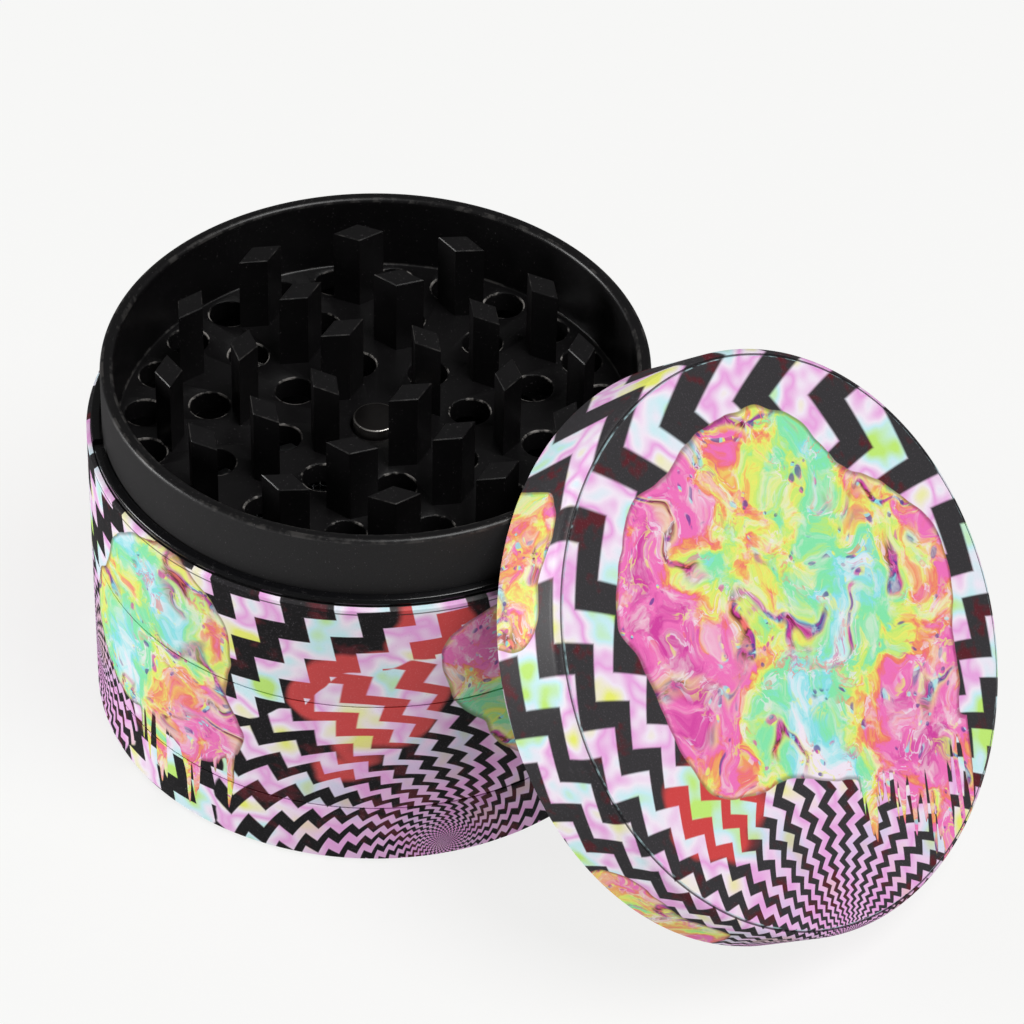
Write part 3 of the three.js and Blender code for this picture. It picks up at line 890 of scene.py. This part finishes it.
def lid():
    metal_height = lid_height - metal_depth
    outline = [(0, skirt_depth), (skirt_bore, skirt_depth, 0.4 * MM), (skirt_bore, mouth_chamfer),
               (skirt_bore + mouth_chamfer, 0), (metal_radius, 0, 0.15 * MM),
               (metal_radius, metal_height, lid_edge - metal_depth), (0, metal_height)]
    piece = finished("lid_cap", lathe(softened(outline, steps=8)))
    post_top = skirt_depth + 0.5 * MM
    post = lathe(softened([(0, post_tip), (post_radius, post_tip, 0.3 * MM), (post_radius, post_top),
                           (0, post_top)]), SMALL_SEGMENTS)
    cut_or_join(piece, "UNION", post)
    tip = skirt_depth - lid_tooth_height
    tooth = rhombic_tooth(tooth_width, tooth_length, tip, skirt_depth + 0.5 * MM, "low")
    cut_or_join(piece, "UNION", around(tooth, lid_teeth))
    pocket_end = post_tip + magnet_height + pocket_gap
    pocket = lathe([(0, post_tip - MM), (pocket_radius, post_tip - MM), (pocket_radius, pocket_end),
                    (0, pocket_end)], SMALL_SEGMENTS)
    cut_or_join(piece, "DIFFERENCE", pocket)
    placed(smoothed(piece), "lid", "lid_body", metal, lid_frame)


def lid_film():
    """The print on the lid: its top sheet meets the sheet round the side in a fine groove."""
    def groove(radius):
        away = abs(radius - film_join_radius) / film_join_width
        return film_join_depth * max(0, 1 - away * away)
    low = 0.22 * MM
    centre_r, centre_z = body_radius - lid_edge, lid_height - lid_edge

    def edge_arc(radius, steps, first, last):
        angles = [math.radians(first + (last - first) * i / steps) for i in range(steps + 1)]
        return [(centre_r + radius * math.cos(a), centre_z + radius * math.sin(a)) for a in angles]
    outline = [(0, lid_height - film_thickness)] + edge_arc(lid_edge - film_thickness, 12, 90, 0)
    outline += [(film_inside, low), (body_radius, low)]
    outline += [(r, z - groove(r)) for r, z in edge_arc(lid_edge, 80, 0, 90)] + [(0, lid_height)]
    piece = finished("lid_print_skin", lathe(softened(outline, 0.06 * MM), SLEEVE_SEGMENTS), sharp=60)
    placed(piece, "lid_print_film", "lid_body", lid_ink, lid_frame)


catcher()
screen_chamber()
grinding_base()
print_sleeve("catcher_sleeve", "catcher_print_sleeve", "catcher_body", 0.35 * MM, chamber_z - film_setback)
print_sleeve("chamber_sleeve", "chamber_print_sleeve", "chamber_body", chamber_z + film_setback,
             base_z - film_setback)
print_sleeve("base_sleeve", "base_print_sleeve", "base_body", base_z + film_setback, shoulder_z, True)
friction_ring()
magnet("floor_magnet", "base_magnet", "base_carrier", magnet_low.z)
screen_ring("screen_frame", "screen_frame_ring", "chamber_body", plastic)
screen_ring("screen_retainer", "screen_retaining_ring", "chamber_carrier", steel)
woven_screen()
lid()
lid_film()
magnet("lid_magnet_disc", "lid_magnet", "lid_carrier", post_tip, lid_frame)


# ---- Floor, light and camera ----

PALE = srgb(247, 247, 246)
FLOOR_DEPTH = 0.0001
FLOOR_REACH = 3.0
DOME_REACH = 2.9
DOME_THICKNESS = 0.05
DOME_STEPS = 16


def pale_surround():
    """The pale glow of the floor and of the backdrop."""
    g = Graph("pale_surround")
    grain = g.noise(g.point, 0.4, 3.0, 0.6)
    colour = g.mix(grain, srgb(98, 98, 98), srgb(100, 100, 99))
    g.shader.inputs["Emission Color"].default_value = (*PALE, 1)
    g.shader.inputs["Emission Strength"].default_value = 0.885
    return g.surface(colour=colour, roughness=0.9, specular=0.0)


def floor(material):
    made = bmesh.new()
    bmesh.ops.create_grid(made, x_segments=8, y_segments=8, size=FLOOR_REACH)
    for vertex in made.verts:
        vertex.co.z = -FLOOR_DEPTH
    piece = finished("pale_floor", made)
    remember_places(piece.data)
    piece.data.materials.append(material)
    piece.visible_glossy = False  # its glow would grey the black metal


def backdrop(material):
    """A dome over the floor that lights nothing, so that low views have no dark horizon."""
    def shell(radius):
        angles = [math.radians(90 * i / DOME_STEPS) for i in range(DOME_STEPS)]
        return [(radius * math.cos(a), radius * math.sin(a)) for a in angles] + [(0, radius)]
    outline = shell(DOME_REACH) + shell(DOME_REACH + DOME_THICKNESS)[::-1]
    piece = finished("pale_backdrop", lathe(outline, 64))
    remember_places(piece.data)
    piece.data.materials.append(material)
    piece.visible_diffuse = piece.visible_glossy = piece.visible_transmission = False
    piece.visible_volume_scatter = piece.visible_shadow = False


def soft_light(name, place, size, power, target=(0, 0, 0.03)):
    """A round soft box that faces the target."""
    light = bpy.data.lights.new(name, "AREA")
    light.shape = "DISK"
    light.size = size
    light.energy = power
    lamp = bpy.data.objects.new(name, light)
    lamp.location = place
    lamp.rotation_euler = (Vector(target) - Vector(place)).to_track_quat("-Z", "Y").to_euler()
    bpy.context.scene.collection.objects.link(lamp)


def world():
    """A dim even light that fills the shadows."""
    sky = bpy.data.worlds.new("studio")
    sky.use_nodes = True
    background = sky.node_tree.nodes["Background"]
    background.inputs["Color"].default_value = (1.0, 1.0, 0.995, 1)
    background.inputs["Strength"].default_value = 0.12
    bpy.context.scene.world = sky


def camera():
    """A long lens from in front and above, rolled a little."""
    place = Vector((0, -0.41597, 0.3863))
    target = Vector((0.01512, 0, 0.02312))
    roll = math.radians(1.43)
    forward = (target - place).normalized()
    right = forward.cross(Vector((0, 0, 1))).normalized()
    up = right.cross(forward)
    rolled_right = right * math.cos(roll) + up * math.sin(roll)
    rolled_up = up * math.cos(roll) - right * math.sin(roll)
    made = bpy.data.cameras.new("camera")
    made.sensor_width = 36.0
    made.lens = 174.98
    view = bpy.data.objects.new("camera", made)
    view.matrix_world = Matrix((rolled_right, rolled_up, -forward)).transposed().to_4x4()
    view.location = place
    bpy.context.scene.collection.objects.link(view)
    bpy.context.scene.camera = view


surround = pale_surround()
floor(surround)
backdrop(surround)
world()
soft_light("key", (0.5, -0.4, 1.25), 0.8, 15.0)
soft_light("left", (-1.2, 0.05, 0.28), 0.5, 10.5)
camera()
bpy.context.scene.view_settings.view_transform = "Standard"
